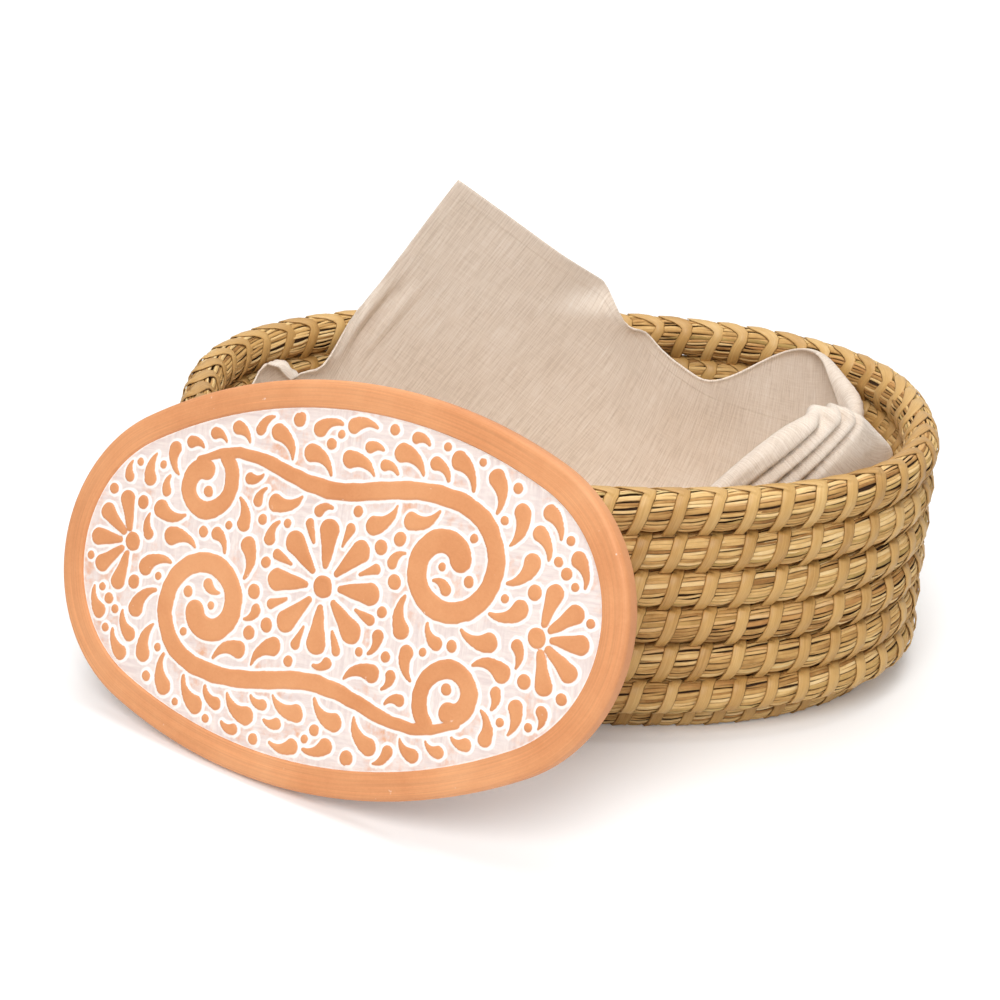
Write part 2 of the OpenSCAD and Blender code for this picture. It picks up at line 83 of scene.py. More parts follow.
class nodeTree:
    # the nodes of a material or the world, where a term is another node's output or a fixed value
    def __init__(self, name, owners=bpy.data.materials):
        self.owner = owners.new(name)
        self.owner.use_nodes = True
        self.nodes, self.links = self.owner.node_tree.nodes, self.owner.node_tree.links

    def feed(self, node, terms):
        for key, term in terms.items():
            if hasattr(term, "links"):
                self.links.new(term, node.inputs[key])
            else:
                node.inputs[key].default_value = term
        return node

    def add(self, kind, terms=None, **settings):
        node = self.nodes.new("ShaderNode" + kind)
        for key, value in settings.items():
            setattr(node, key, value)
        return self.feed(node, terms or {})

    def spot(self):
        return self.add("TexCoord").outputs["Object"]

    def flat(self):
        return self.add("UVMap", uv_map="flat").outputs[0]

    def value(self, name):
        return self.add("Attribute", attribute_name=name).outputs["Fac"]

    def math(self, operation, *terms, clamp=False):
        return self.add("Math", dict(enumerate(terms)), operation=operation, use_clamp=clamp).outputs[0]

    def line(self, term, slope, start):
        return self.math("MULTIPLY_ADD", term, slope, start)

    def level(self, term, slope, start):
        # a line that stops at 0 and 1
        return self.math("MULTIPLY_ADD", term, slope, start, clamp=True)

    def vary(self, term, noise, span, clamp=False):
        # half a span more or less, by a noise from 0 to 1
        return self.math("ADD", term, self.line(noise, span, -span / 2), clamp=clamp)

    def mix(self, share, first, second, blend="MIX"):
        node = self.add("Mix", data_type="RGBA", blend_type=blend, clamp_factor=True)
        return self.feed(node, {0: share, 6: first, 7: second}).outputs[2]

    def noise(self, spot, scale, detail, rough, stretch=(1, 1, 1)):
        spot = self.add("Mapping", {"Vector": spot, "Scale": stretch}).outputs[0]
        terms = {"Vector": spot, "Scale": scale, "Detail": detail, "Roughness": rough}
        return self.add("TexNoise", terms).outputs["Fac"]

    def ramp(self, level, stops):
        ramp = self.add("ValToRGB", {0: level})
        elements = ramp.color_ramp.elements
        while len(elements) < len(stops):
            elements.new(0.5)
        for element, (place, rgb) in zip(elements, stops):
            element.position, element.color = place, linear(rgb)
        return ramp.outputs[0]

    def finish(self, looks, colour, relief, **more):
        # the shader's colour, roughness, gloss and fine relief, whose depth is in mm
        terms = {"Strength": looks["relief"], "Distance": looks["reliefDepth"] * mm, "Height": relief}
        terms = {"Normal": self.add("Bump", terms).outputs[0], "Base Color": colour, **more}
        terms.update({"Roughness": looks["roughness"], "Specular IOR Level": looks["gloss"]})
        self.feed(self.nodes["Principled BSDF"], terms)
        return self.owner


stage = {
    "floorColour": (0.9, 0.9, 0.9, 1), "floorRoughness": 0.9, "floorGloss": 0.1, "floorSize": 6.0,
    "floorGlow": 0.1, "farGlow": 0.6, "farFrom": 0.4, "farSpan": 0.5, "sky": 0.37, "aim": (0, 0, 0.08),
}
lamps = {
    "key": {"place": (-0.25, -1.35, 1.55), "size": 1.2, "watts": 26},
    "fill": {"place": (1.2, -0.9, 1.4), "size": 1.4, "watts": 1},
    "top": {"place": (0.1, 0.3, 1.9), "size": 1.5, "watts": 20},
}


def addFloor():
    m = nodeTree("paleFloor")
    # seen from the camera, the floor turns white away from the object
    far = m.add("VectorMath", {0: m.spot()}, operation="LENGTH").outputs["Value"]
    far = m.level(far, 1 / stage["farSpan"], -stage["farFrom"] / stage["farSpan"])
    level = m.line(far, stage["farGlow"], stage["floorGlow"])
    level = m.math("MULTIPLY", m.add("LightPath").outputs["Is Camera Ray"], level)
    glow = m.add("Emission", {"Color": white, "Strength": level})
    plain = m.feed(m.nodes["Principled BSDF"], {
        "Base Color": stage["floorColour"], "Roughness": stage["floorRoughness"],
        "Specular IOR Level": stage["floorGloss"]})
    both = m.add("AddShader", {0: plain.outputs[0], 1: glow.outputs[0]})
    m.feed(m.nodes["Material Output"], {"Surface": both.outputs[0]})
    corners = np.array([(-1, -1, 0), (1, -1, 0), (1, 1, 0), (-1, 1, 0)]) * stage["floorSize"] / 2 / mm
    addMesh("paleFloor", corners, [np.array([[0, 1, 2, 3]])], m.owner)


def addLight():
    # the sky is white to the camera and in gloss, and weaker as light
    m = nodeTree("studio", bpy.data.worlds)
    path = m.add("LightPath").outputs
    seen = m.math("MAXIMUM", path["Is Glossy Ray"], path["Is Transmission Ray"])
    seen = m.math("MAXIMUM", path["Is Camera Ray"], seen)
    m.feed(m.nodes["Background"], {"Color": white, "Strength": m.line(seen, 1 - stage["sky"], stage["sky"])})
    bpy.context.scene.world = m.owner
    for name, lamp in lamps.items():
        data = bpy.data.lights.new(name, "AREA")
        data.shape, data.size, data.energy = "DISK", lamp["size"], lamp["watts"]
        light = addObject(name, data)
        light.location = lamp["place"]
        # a lamp shines along its own -Z
        z = normed(np.subtract(lamp["place"], stage["aim"]))
        x = normed(np.cross(upright, z))
        light.rotation_euler = Matrix(np.array([x, np.cross(z, x), z]).T.tolist()).to_euler()


# ---- meshes

def addMesh(name, points, faceSets, material, uv=None, values=None):
    # each face set is an array of one face size, a row of corner numbers for each face
    mesh = bpy.data.meshes.new(name)
    points = np.asarray(points, dtype=np.float64).reshape(-1, 3) * mm
    sizes = np.concatenate([np.full(len(f), f.shape[1]) for f in faceSets])
    corners = np.concatenate([f.ravel() for f in faceSets]).astype(np.int32)
    starts = (np.cumsum(sizes) - sizes).astype(np.int32)
    mesh.vertices.add(len(points))
    mesh.vertices.foreach_set("co", points.astype(np.float32).ravel())
    mesh.loops.add(len(corners))
    mesh.loops.foreach_set("vertex_index", corners)
    mesh.polygons.add(len(starts))
    mesh.polygons.foreach_set("loop_start", starts)
    mesh.update(calc_edges=True)
    mesh.polygons.foreach_set("use_smooth", np.full(len(starts), True))
    if uv is not None:
        mesh.uv_layers.new(name="flat").data.foreach_set("uv", uv[corners].astype(np.float32).ravel())
    for key, value in (values or {}).items():
        mesh.attributes.new(key, "FLOAT", "POINT").data.foreach_set("value", value.astype(np.float32).ravel())
    mesh.materials.append(material)
    return addObject(name, mesh)


def place(piece, body, slot, *nodes):
    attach(piece, body)
    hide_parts(*nodes)


def gridFaces(rows, columns, closedRows=False, closedColumns=False, first=0):
    # quads of a grid whose point k * columns + i is column i of row k
    k = np.arange(rows if closedRows else rows - 1)[:, None]
    i = np.arange(columns if closedColumns else columns - 1)[None, :]
    down, right = (k + 1) % rows, (i + 1) % columns
    quads = [k * columns + i, down * columns + i, down * columns + right, k * columns + right]
    return np.stack(quads, -1).reshape(-1, 4) + first


def fanFaces(pole, ring):
    # triangles from a pole to a closed ring
    return np.stack([0 * ring + pole, ring, np.roll(ring, -1)], -1)


def endFaces(size, total):
    # the two ends of a rod whose rings have this size, and which has this many points
    return np.array([np.arange(size), total - 1 - np.arange(size)])


def repeated(faces, size, count):
    # the same faces on each of a number of shapes with this size
    return (faces + size * np.arange(count)[:, None, None]).reshape(-1, faces.shape[1])


def uvPairs(u, v):
    return np.stack(np.broadcast_arrays(u, v), -1).reshape(-1, 2) * mm


def unit(a):
    return np.stack([np.cos(np.radians(a)), np.sin(np.radians(a))], -1)


def normed(v):
    return v / np.linalg.norm(v, axis=-1, keepdims=True)


def ease(u):
    u = np.clip(u, 0, 1)
    return u * u * (3 - 2 * u)


def within(span, share):
    return span[0] + (span[1] - span[0]) * share


def runOf(points):
    # the distance run at each point of a path
    steps = np.linalg.norm(np.diff(points, axis=-2), axis=-1)
    return np.cumsum(np.concatenate([0 * steps[..., :1], steps], -1), -1)


def ellipse(a, across, tall):
    # the point at an angle in radians, and the way out from it
    c, s = np.cos(a), np.sin(a)
    size = np.hypot(c * tall, s * across)
    return across * c, tall * s, c * tall / size, s * across / size


def hashed(*keys):
    # an even spread of fixed numbers from 0 to 1, worked out from whole numbers
    mixed = sum(np.asarray(k, dtype=np.float64) * f for k, f in zip(keys, (12.9898, 78.233, 37.719, 93.989)))
    return np.mod(np.abs(np.sin(mixed) * 43758.5453), 1.0)


# ---- the route of the coil, as in the CAD source

basket = {
    "length": 320.0, "depth": 212.0, "ovalPower": 2.5, "footInset": 11.0, "bundleWidth": 13.8, "bundleHeight": 15.2,
    "rimHeight": 16.6, "climbSpan": 60.0, "seam": 72.0, "footFlat": 0.5, "stripWidth": 5.2, "stripThick": 0.5,
    "stripLean": 21, "stripDip": 2.4, "stripRoom": 1.5, "rowStitches": 60, "baseTurns": 5, "wallRows": 5,
    "baseGap": 0.4, "tailStop": 0.66, "tailStitches": 0.7, "turnSteps": 60,
}
stripT, bundleW, bundleH, rimH = (basket[k] for k in ("stripThick", "bundleWidth", "bundleHeight", "rimHeight"))
halfLen = (basket["length"] - bundleW - 2 * stripT) / 2
halfDep = (basket["depth"] - bundleW - 2 * stripT) / 2
coreHalf = halfLen - halfDep
rowPitch = bundleH + 2 * stripT
footLevel = basket["baseTurns"]
rimLevel = footLevel + basket["wallRows"] + 1
coilStart = basket["seam"] + basket["climbSpan"]
basePitch = (halfDep - basket["footInset"]) / (footLevel + 1)
baseWidth = basePitch - 2 * stripT - basket["baseGap"]
baseZ = bundleH / 2 - basket["footFlat"]
footRise = np.sqrt(rowPitch**2 - basket["footInset"] ** 2)
underRimZ = baseZ + footRise + (basket["wallRows"] - 1) * rowPitch
rimZ = underRimZ + (bundleH + rimH) / 2 + 2 * stripT
rimTop = rimZ + rimH / 2 + stripT


def planRadius(inset, t):
    # a superellipse that turns into straight sides with round ends towards the core
    c, s = np.abs(np.cos(np.radians(t))), np.abs(np.sin(np.radians(t)))
    b = halfDep - inset
    power = basket["ovalPower"]
    oval = ((c / (halfLen - inset)) ** power + (s / b) ** power) ** (-1 / power)
    ends = np.where(b * c <= coreHalf * s, b / np.maximum(s, 1e-9),
                    coreHalf * c + np.sqrt(np.maximum(b**2 - (coreHalf * s) ** 2, 0)))
    share = (b / halfDep) ** 2
    return share * oval + (1 - share) * ends


def rowSpot(t, inset=0):
    return planRadius(inset, t)[..., None] * unit(t)


def levelAt(t):
    turn = np.floor((t - basket["seam"]) / 360)
    return turn - 1 + ease((t - basket["seam"] - 360 * turn) / basket["climbSpan"])


def insetAt(level):
    return np.where(level <= footLevel, basket["footInset"] + (footLevel - level) * basePitch,
                    np.maximum(0, basket["footInset"] * (1 - (level - footLevel))))


def zAt(level):
    levels = [footLevel, footLevel + 1, rimLevel - 1, rimLevel]
    return np.interp(level, levels, [baseZ, baseZ + footRise, underRimZ, rimZ])


def heightAt(level):
    return bundleH + (rimH - bundleH) * np.maximum(0, level - rimLevel + 1)


def widthAt(level):
    return baseWidth + (bundleW - baseWidth) * np.clip(level - footLevel + 1, 0, 1)


def turnStart(level):
    return basket["seam"] + 360 * level


def routePoint(t):
    level = levelAt(t)
    return np.concatenate([rowSpot(t, insetAt(level)), zAt(level)[..., None]], -1)


def routeSides(t):
    # unit vectors along the row, level, and out from it
    along = normed((routePoint(t + 1) - routePoint(t - 1)) * (1, 1, 0))
    return along, np.cross(along, upright)


def rowTable(start, end, steps=120):
    t = start + (end - start) * np.arange(steps + 1) / steps
    return t, runOf(routePoint(t))


wholeCoil = rowTable(coilStart, turnStart(rimLevel + 1) + 60, 4000)


# ---- grass bundle

grass = {
    "strands": 35, "stationGap": 2.6, "baseStrands": 22, "baseStationGap": 4.5, "tailStrands": 20, "usualStrands": 30,
    "twist": 0.0095, "width": (1.3, 2.8), "thickness": 0.5, "thickest": (0.5, 1.1), "wander": 0.7, "wanderSpan": 160,
    "lift": 0.34, "liftSpan": 220, "bulge": 0.32, "pinch": 0.35, "strandLength": (110, 300), "taper": 9.0,
    "taperWidth": (0.25, 1), "core": 0.87, "coreSides": 14, "coreEvery": 3, "lowest": 0.12, "sideShade": 0.55,
    "colours": [(0.0, (92, 58, 24)), (0.16, (150, 106, 54)), (0.45, (196, 154, 92)), (0.75, (220, 182, 120)),
                (1.0, (234, 204, 150))],
    # painted shade: the dark colour of the shade between strands
    "gapShadeColour": (66, 40, 14), "tints": [((166, 150, 84), 8.0, -7.2), ((182, 122, 68), -8.0, 0.9)],
    "tintShare": 0.5, "tone": (0.2, 0.9), "streaks": (1.0, 4, 0.6, (55, 2600, 1)), "streakSpan": 0.7,
    "blotches": (1.0, 3, 0.6, (140, 700, 1)), "blotchSpan": 0.5,
    "roughness": 0.72, "gloss": 0.35, "relief": 0.5, "reliefDepth": 0.3,
}

# across and through one strand, as shares of its width and thickness: a flat back and a slightly domed face
strandSection = np.array([[-0.5, -0.1], [-0.3, 0.5], [0.3, 0.5], [0.5, -0.1], [0.0, -0.5]])


def waves(s, strand, seed, longest):
    # three sines of the distance along the coil, with their own phases for each strand
    total = 0
    for k, span in enumerate((longest, longest * 0.43, longest * 0.21)):
        span = span * (0.8 + 0.4 * hashed(strand, seed, k))
        total = total + np.sin(2 * np.pi * (s / span + hashed(strand, seed + 5, k))) / (k + 1.4)
    return total / 1.5


def grassMaterial():
    m = nodeTree("driedGrass")
    uv, hue = m.flat(), m.value("hue")
    streaks = m.noise(uv, *grass["streaks"])
    level = m.vary(m.value("tone"), streaks, grass["streakSpan"])
    level = m.vary(level, m.noise(uv, *grass["blotches"]), grass["blotchSpan"], clamp=True)
    colour = m.ramp(level, grass["colours"])
    # one stem in ten is greenish, and one in ten reddish
    for tint, slope, start in grass["tints"]:
        share = m.math("MULTIPLY", m.level(hue, slope, start), grass["tintShare"])
        colour = m.mix(share, colour, linear(tint))
    # painted shade: the sides and backs of strands, and the core, are mixed towards the dark colour of the shade
    # between strands
    return m.finish(grass, m.mix(m.value("gap"), colour, linear(grass["gapShadeColour"])), streaks)


def stripShift(angle):
    # how far a strip stands along its row, by the angle round the bundle: 0 is outwards and 90 on top
    return np.interp(angle, *np.transpose(palm["shifts"]), period=360)


def ringPoints(centre, out, x, z):
    # points at x outwards and z above the middle of each station
    return centre[:, None] + out[:, None] * x[..., None] + upright * z[..., None]


def strandMesh(t, centre, out, width, height, stitches, count, seedShift):
    # each strand follows the coil at its own angle round the bundle, and wanders a little round it and in and out
    s = np.interp(t, *wholeCoil) + seedShift
    k = np.arange(count)[:, None]
    wander = grass["wander"] * waves(s, k, 1, grass["wanderSpan"])
    angle = 2 * np.pi * (k + 0.5 + wander) / count + grass["twist"] * s
    # a strand ends here and there, where the next one takes its place
    long = within(grass["strandLength"], hashed(k, 3))
    part = s / long + hashed(k, 4)
    number = np.floor(part)
    toEnd = np.minimum(part - number, number + 1 - part) * long
    taper = within(grass["taperWidth"], ease(toEnd / grass["taper"]))
    wide = within(grass["width"], hashed(k, number, 5)) * taper * (width / bundleW) * grass["usualStrands"] / count
    thick = np.clip(wide * grass["thickness"], *grass["thickest"])
    # the bundle swells between the strips and is pinched under them
    spacing = (s[-1] - s[0]) / max(1.0, stitches[-1] - stitches[0])
    crest = np.cos(2 * np.pi * (stitches - stripShift(np.degrees(angle)) / spacing))
    swell = grass["bulge"] * np.maximum(0, crest) - grass["pinch"] * ease(0.1 - 2.6 * crest)
    depth = grass["lift"] * waves(s, k, 2, grass["liftSpan"]) + swell - thick / 2
    px, pz, nx, nz = ellipse(angle, width / 2, height / 2)
    sx, sz = strandSection[:, 0] * wide[..., None], strandSection[:, 1] * thick[..., None]
    ringX = (px + nx * depth)[..., None] - sx * nz[..., None] + sz * nx[..., None]
    ringZ = (pz + nz * depth)[..., None] + sx * nx[..., None] + sz * nz[..., None]
    points = ringPoints(centre, out, ringX, ringZ)
    tone = np.clip(within(grass["tone"], hashed(k, number, 6)) + 0.1 * (taper - 1), 0, 1)
    n, size = len(strandSection), points[0].size // 3
    faces = repeated(gridFaces(len(t), n, closedColumns=True), size, count)
    uv = uvPairs(s[:, None], 13.1 * k[..., None] + sz)
    values = {"tone": np.repeat(tone, n), "hue": np.repeat(hashed(k, number, 7), n)}
    return points.reshape(-1, 3), faces, repeated(endFaces(n, size), size, count), uv, values


def coreMesh(centre, out, width, height, first):
    # a plain rod inside the strands, which bundle colours all over with painted shade
    sides = grass["coreSides"]
    turn = 2 * np.pi * np.arange(sides) / sides
    across, tall = (grass["core"] * v[:, None] / 2 for v in (width, height))
    points = ringPoints(centre, out, across * np.cos(turn), tall * np.sin(turn))
    faces = gridFaces(len(centre), sides, closedColumns=True, first=first)
    return points.reshape(-1, 3), faces, endFaces(sides, len(centre) * sides) + first


def bundle(name, node, t, centre, out, width, height, stitches, count, material, seedShift=0.0):
    points, faces, caps, uv, values = strandMesh(t, centre, out, width, height, stitches, count, seedShift)
    few = np.unique(np.append(np.arange(0, len(t), grass["coreEvery"]), len(t) - 1))
    core, coreFaces, coreCaps = coreMesh(centre[few], out[few], width[few], height[few], len(points))
    # painted shade: the sides and backs of strands are marked to take the dark colour of the shade between them
    sides = grass["sideShade"] * (np.abs(strandSection[:, 0]) > 0.4) + (strandSection[:, 1] < -0.4)
    values["gap"] = np.tile(sides, len(points) // len(sides))
    # painted shade: the core rod takes the dark colour all over, for the shade deep inside the bundle
    values = {key: np.append(v, np.full(len(core), float(key == "gap"))) for key, v in values.items()}
    points = np.concatenate([points, core])
    points[:, 2] = np.maximum(points[:, 2], grass["lowest"])
    piece = addMesh(name, points, [np.concatenate([faces, coreFaces]), caps, coreCaps], material,
                    uv=np.concatenate([uv, np.zeros((len(core), 2))]), values=values)
    place(piece, "basket", "grass_bundle", node)


def coilBundle(name, node, table, stitches, count, gap, material):
    # the table is of angles and the distance run, and stitches are numbered at angles of their own
    run = table[1][-1]
    t = np.interp(np.linspace(0, run, int(run / gap) + 1), table[1], table[0])
    level = levelAt(t)
    bundle(name, node, t, routePoint(t), routeSides(t)[1], widthAt(level), heightAt(level), np.interp(t, *stitches),
           count, material)


# ---- palm strips

palm = {
    "widthVary": 0.09, "leanVary": 0.2, "placeVary": 0.7, "tipVary": 0.12, "rise": 0.35, "dipSpan": 60,
    "loop": (-118, -92, -62, -32, 0, 28, 50, 64, 76, 88, 100, 114, 130, 150, 180, 212, 236.0),
    "shifts": [(-110, -3), (-90, -3), (60, 3), (72, 4.6), (84, 3.4), (100, -2.5), (120, -7.5), (140, -9), (180, -6)],
    "colours": [(0.0, (156, 110, 54)), (0.35, (192, 148, 84)), (0.7, (212, 170, 104)), (1.0, (226, 190, 128))],
    # painted shade: the dark colour at the strips' edges, where they turn down beside the strands
    "edgeShadeColour": (116, 78, 32), "edgeShade": 0.55, "edgePower": 6.0,
    "veins": (1.0, 3, 0.5, (28, 2300, 1)), "veinSpan": 0.9, "patches": (1.0, 3, 0.6, (110, 260, 1)),
    "patchSpan": 0.5, "tone": (0.3, 0.8), "roughness": 0.46, "gloss": 0.45, "relief": 0.35, "reliefDepth": 0.2,
}

# across and through a strip, as a share of its width and in mm
stripSection = np.array([[-0.5, -0.08], [-0.4, 0.36], [0.4, 0.36], [0.5, -0.08], [0.0, -0.32]])


def palmMaterial():
    m = nodeTree("palmStrip")
    uv = m.flat()
    veins = m.noise(uv, *palm["veins"])
    level = m.vary(m.value("tone"), veins, palm["veinSpan"])
    level = m.vary(level, m.noise(uv, *palm["patches"]), palm["patchSpan"], clamp=True)
    # painted shade: the strip's colour darkens towards its edges, where they turn down into the creases
    edge = m.math("MULTIPLY", m.math("POWER", m.value("across"), palm["edgePower"]), palm["edgeShade"])
    return m.finish(palm, m.mix(edge, m.ramp(level, palm["colours"]), linear(palm["edgeShadeColour"])), veins)


def stripMesh(name, node, centre, along, out, width, height, seat, material, seed):
    # each strip is a closed loop round its bundle: it leans along the row on the way up and crosses back on top
    loop = np.array(palm["loop"])
    k = np.arange(len(centre))[:, None]
    c, s = unit(seat)
    side, rise = c * out - s * upright, c * upright + s * out
    # the loop's half sizes across and along the way that the rows stack
    across, tall = (((1 - s) * v + s * w)[:, None] / 2 + palm["rise"] for v, w in ((width, height), (height, width)))
    px, pz, nx, nz = (v[..., None] for v in ellipse(np.radians(loop), across, tall))
    dip = sum(basket["stripDip"] * ease(1 - np.abs(loop - a) / palm["dipSpan"]) for a in (-91, 269))
    lean = stripShift(loop - seat) * (1 + palm["leanVary"] * (hashed(k, seed, 1) - 0.5))
    lean = lean + palm["placeVary"] * (hashed(k, seed, 2) - 0.5)
    middle = centre[:, None] + side[:, None] * px + rise[:, None] * (pz - dip[:, None])
    middle = middle + along[:, None] * lean[..., None]
    normal = side[:, None] * nx + rise[:, None] * nz
    crosswise = normed(np.cross(np.roll(middle, -1, 1) - np.roll(middle, 1, 1), normal))
    wide = basket["stripWidth"] * (1 + palm["widthVary"] * (2 * hashed(k, seed, 3) - 1))
    tip = palm["tipVary"] * (2 * hashed(k, seed, 4) - 1)
    sx = stripSection[:, 0] * wide[..., None]
    sz = stripSection[:, 1] + tip[..., None] * stripSection[:, 0] * 2
    points = middle[:, :, None] + crosswise[:, :, None] * sx[..., None] + normal[:, :, None] * sz[..., None]
    points = points.reshape(-1, 3)
    points[:, 2] = np.maximum(points[:, 2], 0.0)
    # each strip takes its own part of the pattern
    run = runOf(middle) + 37 * hashed(k, seed, 5)
    uv = uvPairs(run[..., None], sx + 11 * hashed(k, seed, 6)[..., None])
    n, sides = len(loop), len(stripSection)
    faces = repeated(gridFaces(n, sides, closedRows=True, closedColumns=True), n * sides, len(k))
    # tone differs at random from strip to strip; across, the share out from the strip's middle, sets the painted
    # shade at its edges
    values = {"tone": np.repeat(within(palm["tone"], hashed(k, seed, 8)), n * sides),
              "across": np.tile(np.abs(stripSection[:, 0]) * 2, n * len(k))}
    piece = addMesh(name, points, [faces[:, ::-1]], material, uv=uv, values=values)
    place(piece, "basket", "palm_strip", node)


def rowStrips(name, node, table, count, seat, material, seed):
    # evenly spaced by the distance run
    t = np.interp((np.arange(count) + 0.5) / count * table[1][-1], table[1], table[0])
    level = levelAt(t)
    stripMesh(name, node, routePoint(t), *routeSides(t), widthAt(level), heightAt(level), seat, material, seed)


def tailRoute(u):
    # the thinned end of the coil lies on top of the rim's own climb
    t = turnStart(rimLevel + 1) + u * basket["climbSpan"]
    under = levelAt(t - 360)
    tall = rimZ + rimH / 2 - zAt(under) - heightAt(under) / 2 - 2 * stripT
    centre = np.concatenate([rowSpot(t), (rimZ + rimH / 2 - tall / 2)[:, None]], -1)
    return t, centre, *routeSides(t - 360), bundleW * np.minimum(1, 0.3 + 0.7 * tall / rimH), tall


def addBase(straw, strip):
    x = np.linspace(-coreHalf, coreHalf, 60)
    centre = np.stack([x, 0 * x, 0 * x + baseZ], -1)
    bundle("baseCore", "base_core", coilStart + (x + coreHalf) / 40, centre, np.tile([0, -1.0, 0], (60, 1)),
           0 * x + baseWidth, 0 * x + baseWidth + 1.2, 0 * x + 0.25, grass["baseStrands"], straw, 900)
    # strips stand as close as on the wall, or as close as they can where they meet inside the turn
    spacing = rowTable(turnStart(rimLevel), turnStart(rimLevel + 1))[1][-1] / basket["rowStitches"]
    marks, total = [], 0
    for level in range(footLevel):
        start, end = max(coilStart, turnStart(level)), turnStart(level + 1)
        turnR = halfDep - float(insetAt(level))
        room = (basket["stripWidth"] + basket["stripRoom"]) * turnR
        room = room / (turnR - (bundleW + 2 * stripT) / 2 - basket["stripDip"])
        t, run = rowTable(start, end, basket["turnSteps"])
        count = int(run[-1] / max(spacing, room))
        rowStrips(f"baseStrips{level + 1}", f"base_binding_{level + 1}", rowTable(start, end), count, 90, strip,
                  20 + level)
        marks.append((t, total + run / run[-1] * count))
        total += count
    coilBundle("baseCoil", "base_coil", rowTable(coilStart, turnStart(footLevel)), np.concatenate(marks, 1),
               grass["baseStrands"], grass["baseStationGap"], straw)


def addRows(straw, strip):
    # the first wall row stands aslant on the foot row
    slant = np.degrees(np.arctan2(basket["footInset"], footRise))
    rows = [("foot", "", 90), *(("wall", str(k), 0 if k > 1 else slant) for k in range(1, basket["wallRows"] + 1)),
            ("rim", "", 0)]
    for k, (row, number, seat) in enumerate(rows):
        table = rowTable(turnStart(footLevel + k), turnStart(footLevel + k + 1))
        stitches = (table[0], table[1] / table[1][-1] * basket["rowStitches"])
        tag = "_" + number if number else ""
        coilBundle(f"{row}Coil{number}", f"{row}_coil{tag}", table, stitches, grass["strands"], grass["stationGap"],
                   straw)
        rowStrips(f"{row}Strips{number}", f"{row}_binding{tag}", table, basket["rowStitches"], seat, strip, 30 + k)


def addTail(straw, strip):
    u = np.linspace(0, basket["tailStop"], 50)
    t, centre, along, out, wide, tall = tailRoute(u)
    bundle("coilEnd", "coil_end", t, centre, out, wide, tall, u * 10, grass["tailStrands"], straw)
    turns = basket["climbSpan"] / 360 * basket["tailStop"]
    count = int(round(basket["rowStitches"] * turns * basket["tailStitches"]))
    t, centre, along, out, wide, tall = tailRoute(basket["tailStop"] * (np.arange(count) + 0.5) / count)
    stripMesh("endStrips", "end_binding", centre, along, out, wide, tall, 0, strip, 50)


# ---- warming tile

tile = {
    "length": 262.0, "width": 157.0, "endR": 63.0, "thick": 8.5, "rimWidth": 10.5, "edgeR": 2.4, "carve": 1.3,
    "yaw": 34.0, "tilt": 23.0, "roll": 9.5, "shift": -3.0, "gap": 0.4, "gridStep": 0.6, "columns": 420,
    "ground": -1.75,
}
clay = {
    "colours": [(0.3, (204, 134, 84)), (0.52, (215, 148, 98)), (0.78, (224, 161, 112))], "chip": (244, 230, 218),
    "chips": (330, 2, 0.5), "chipLevel": (14.0, -10.4), "chipShare": 0.7, "cloudy": (22, 4, 0.6),
    "fine": (900, 3, 0.6), "fineSpan": 0.2, "ringScale": 14.0, "rings": (1.4, 4, 0.65), "ringShade": (0.5, 0.75),
    "roughness": 0.62, "gloss": 0.5, "relief": 0.25, "reliefDepth": 0.3,
}
slip = {
    "colour": (236, 224, 217), "outline": (250, 246, 242), "brushed": (219, 203, 198), "rubbed": (224, 172, 140),
    "streak": (260, 3, 0.6), "brush": (1.0, 4, 0.65), "brushWays": ((60, 620, 1), (620, 60, 1)),
    "brushLevel": (3.4, -1.2), "patches": (26, 2, 0.5), "patchLevel": (9.0, -4.0), "worn": (34, 5, 0.7),
    "wornLevel": (8.0, -3.95), "wornAway": (1.3, -1.0), "wornStreaks": (4.0, -1.5), "thickSpan": 1.6,
    "thickLevel": (-1.6, 2.3), "groundSpan": 0.5, "groundLevel": (3.5, 0.6),
    "roughness": 0.68, "gloss": 0.5, "relief": 0.3, "reliefDepth": 0.3,
}
carving = {
    "vine": 7.2, "rosette": 26.0, "space": 1.45, "leafGap": 1.7, "leafStep": 10.4, "leaf": (13.5, 3.7),
    "leafBend": 72, "leafLean": 50, "leafShares": (1, 0.82, 0.66, 0.52), "fillShares": (0.8, 0.62, 0.48),
    "fillStep": 4.0, "fillBend": 65, "beads": (2.9, 2.3, 1.8), "fromRim": 1.9, "batch": 4000000,
}
tileSideR = ((tile["length"] / 2) ** 2 + (tile["width"] / 2) ** 2 - tile["length"] * tile["endR"]) / (
    tile["width"] - 2 * tile["endR"])
tileEndX = tile["length"] / 2 - tile["endR"]
tileSideY = tileSideR - tile["width"] / 2
jointAngle = np.arctan2(tileEndX, tileSideY)

# where the rim reaches furthest towards the tile
leanAngles = np.arange(180, 271.0)
leanWay = -unit(90 - tile["yaw"])
leanReach = rowSpot(leanAngles) @ leanWay


def ovalPoints(count):
    # the middle, radius and angle of the four-arc oval, evenly spaced by arc length
    end = np.pi / 2 - jointAngle
    arcs = [((tileEndX, 0), tile["endR"], -end, end), ((0, -tileSideY), tileSideR, end, np.pi - end),
            ((-tileEndX, 0), tile["endR"], np.pi - end, np.pi + end),
            ((0, tileSideY), tileSideR, np.pi + end, 2 * np.pi - end)]
    mid, r, a, b = (np.array(v) for v in zip(*arcs))
    stops = np.append(0, np.cumsum(r * (b - a)))
    s = np.arange(count) / count * stops[-1]
    k = np.clip(np.searchsorted(stops, s, side="right") - 1, 0, 3)
    return mid[k], r[k], a[k] + (s - stops[k]) / r[k]


def ovalDistance(x, y):
    # distance inwards from the oval's edge, more than 0 inside it
    x, y = np.abs(x), np.abs(y)
    inEnd = np.arctan2(x, y + tileSideY) > jointAngle
    return np.where(inEnd, tile["endR"] - np.hypot(x - tileEndX, y), tileSideR - np.hypot(x, y + tileSideY))


